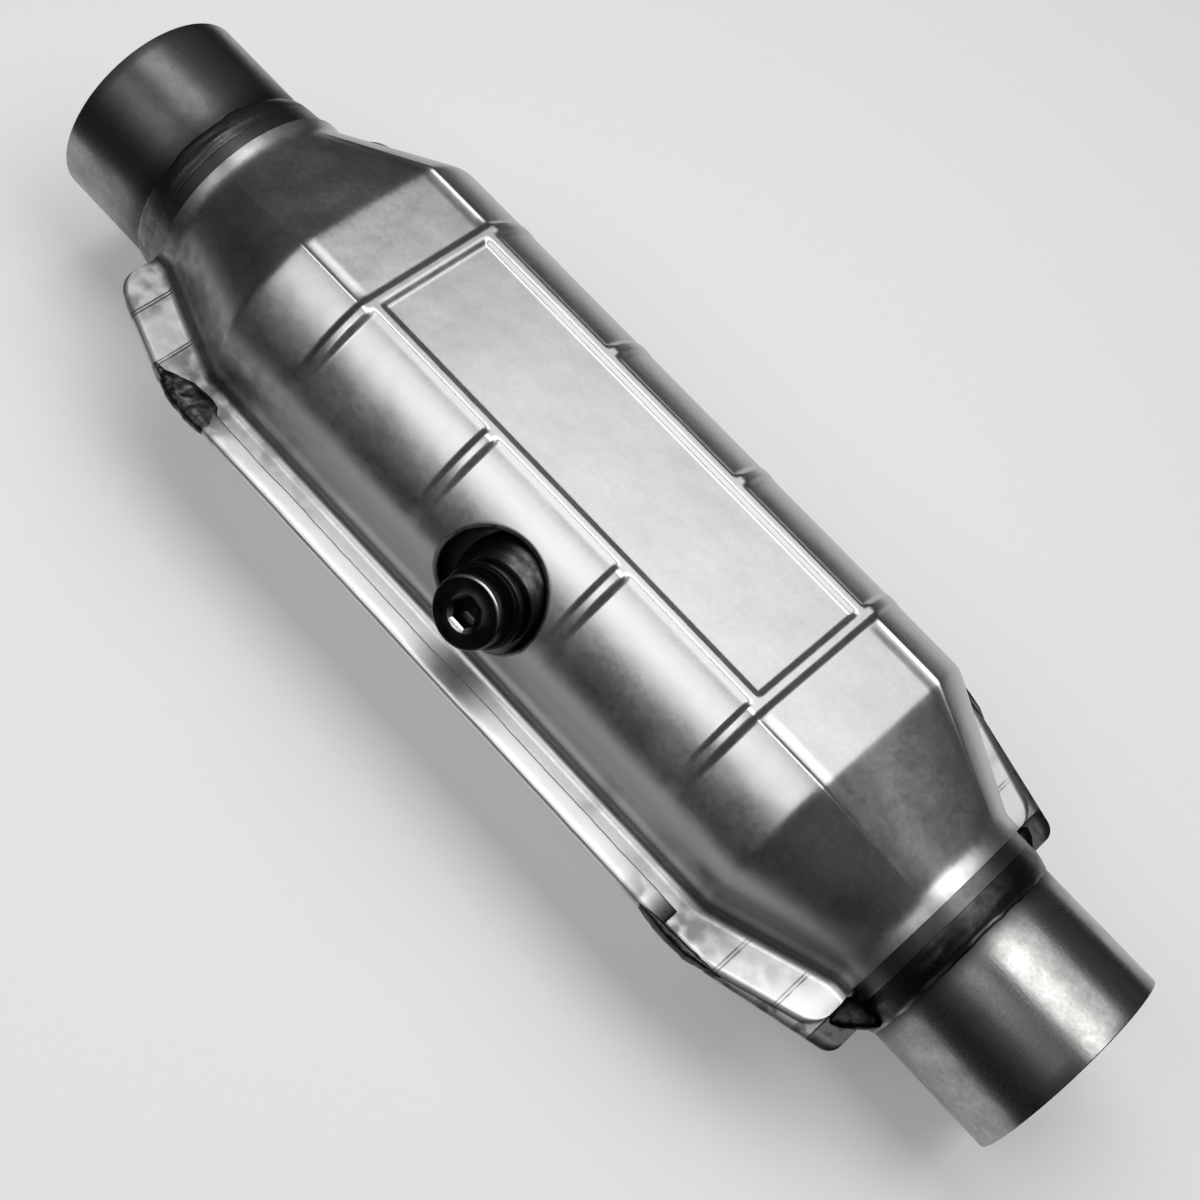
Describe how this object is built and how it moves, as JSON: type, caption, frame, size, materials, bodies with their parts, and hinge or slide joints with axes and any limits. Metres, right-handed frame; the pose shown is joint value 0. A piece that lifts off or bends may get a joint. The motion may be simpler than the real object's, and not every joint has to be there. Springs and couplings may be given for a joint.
{
  "type": "catalytic converter",
  "caption": "Exhaust catalytic converter with ribbed, hemmed heat shields over a round can, conical ends, slip-in necks for a 2.5 inch pipe and a plugged sensor port.",
  "frame": {"origin": "centre of the inlet mouth on the pipe axis", "axes": "+X the way the gas flows, +Z normal to the flat top of the upper shield, the sensor port on the -Y side"},
  "size_m": [0.399, 0.1308, 0.1024],
  "materials": {
    "pressed_stainless": "bright satin stainless sheet, as pressed",
    "neck_tube": "drawn stainless tube, mottled by the furnace",
    "weld_bead": "oxidised weld bead",
    "blackened_steel": "black oxide steel",
    "gasket_copper": "dulled copper crush washer",
    "ceramic_brick": "washcoated cordierite honeycomb",
    "fibre_mat": "vermiculite and fibre mat",
    "wire_mesh": "knitted stainless wire",
    "can_steel": "ferritic stainless sheet, heat darkened"
  },
  "bodies": {
    "root": {"bung_weld": "weld_bead", "converter_can": "can_steel", "front_brick": "ceramic_brick", "front_mat": "fibre_mat", "front_mat_inlet_seal": "wire_mesh", "front_mat_outlet_seal": "wire_mesh", "inlet_can_weld": "weld_bead", "inlet_cone": "can_steel", "inlet_cone_insulation": "fibre_mat", "inlet_left_corner_weld": "weld_bead", "inlet_liner_cone": "can_steel", "inlet_neck": "neck_tube", "inlet_neck_weld": "weld_bead", "inlet_right_corner_weld": "weld_bead", "lower_shield": "pressed_stainless", "outlet_can_weld": "weld_bead", "outlet_cone": "can_steel", "outlet_cone_insulation": "fibre_mat", "outlet_left_corner_weld": "weld_bead", "outlet_left_tab_weld": "weld_bead", "outlet_liner_cone": "can_steel", "outlet_neck": "neck_tube", "outlet_neck_weld": "weld_bead", "outlet_right_corner_weld": "weld_bead", "outlet_right_tab_weld": "weld_bead", "plug_gasket": "gasket_copper", "port_plug": "blackened_steel", "rear_brick": "ceramic_brick", "rear_mat": "fibre_mat", "rear_mat_inlet_seal": "wire_mesh", "rear_mat_outlet_seal": "wire_mesh", "sensor_bung": "blackened_steel", "upper_shield": "pressed_stainless"}
  },
  "joints": []
}
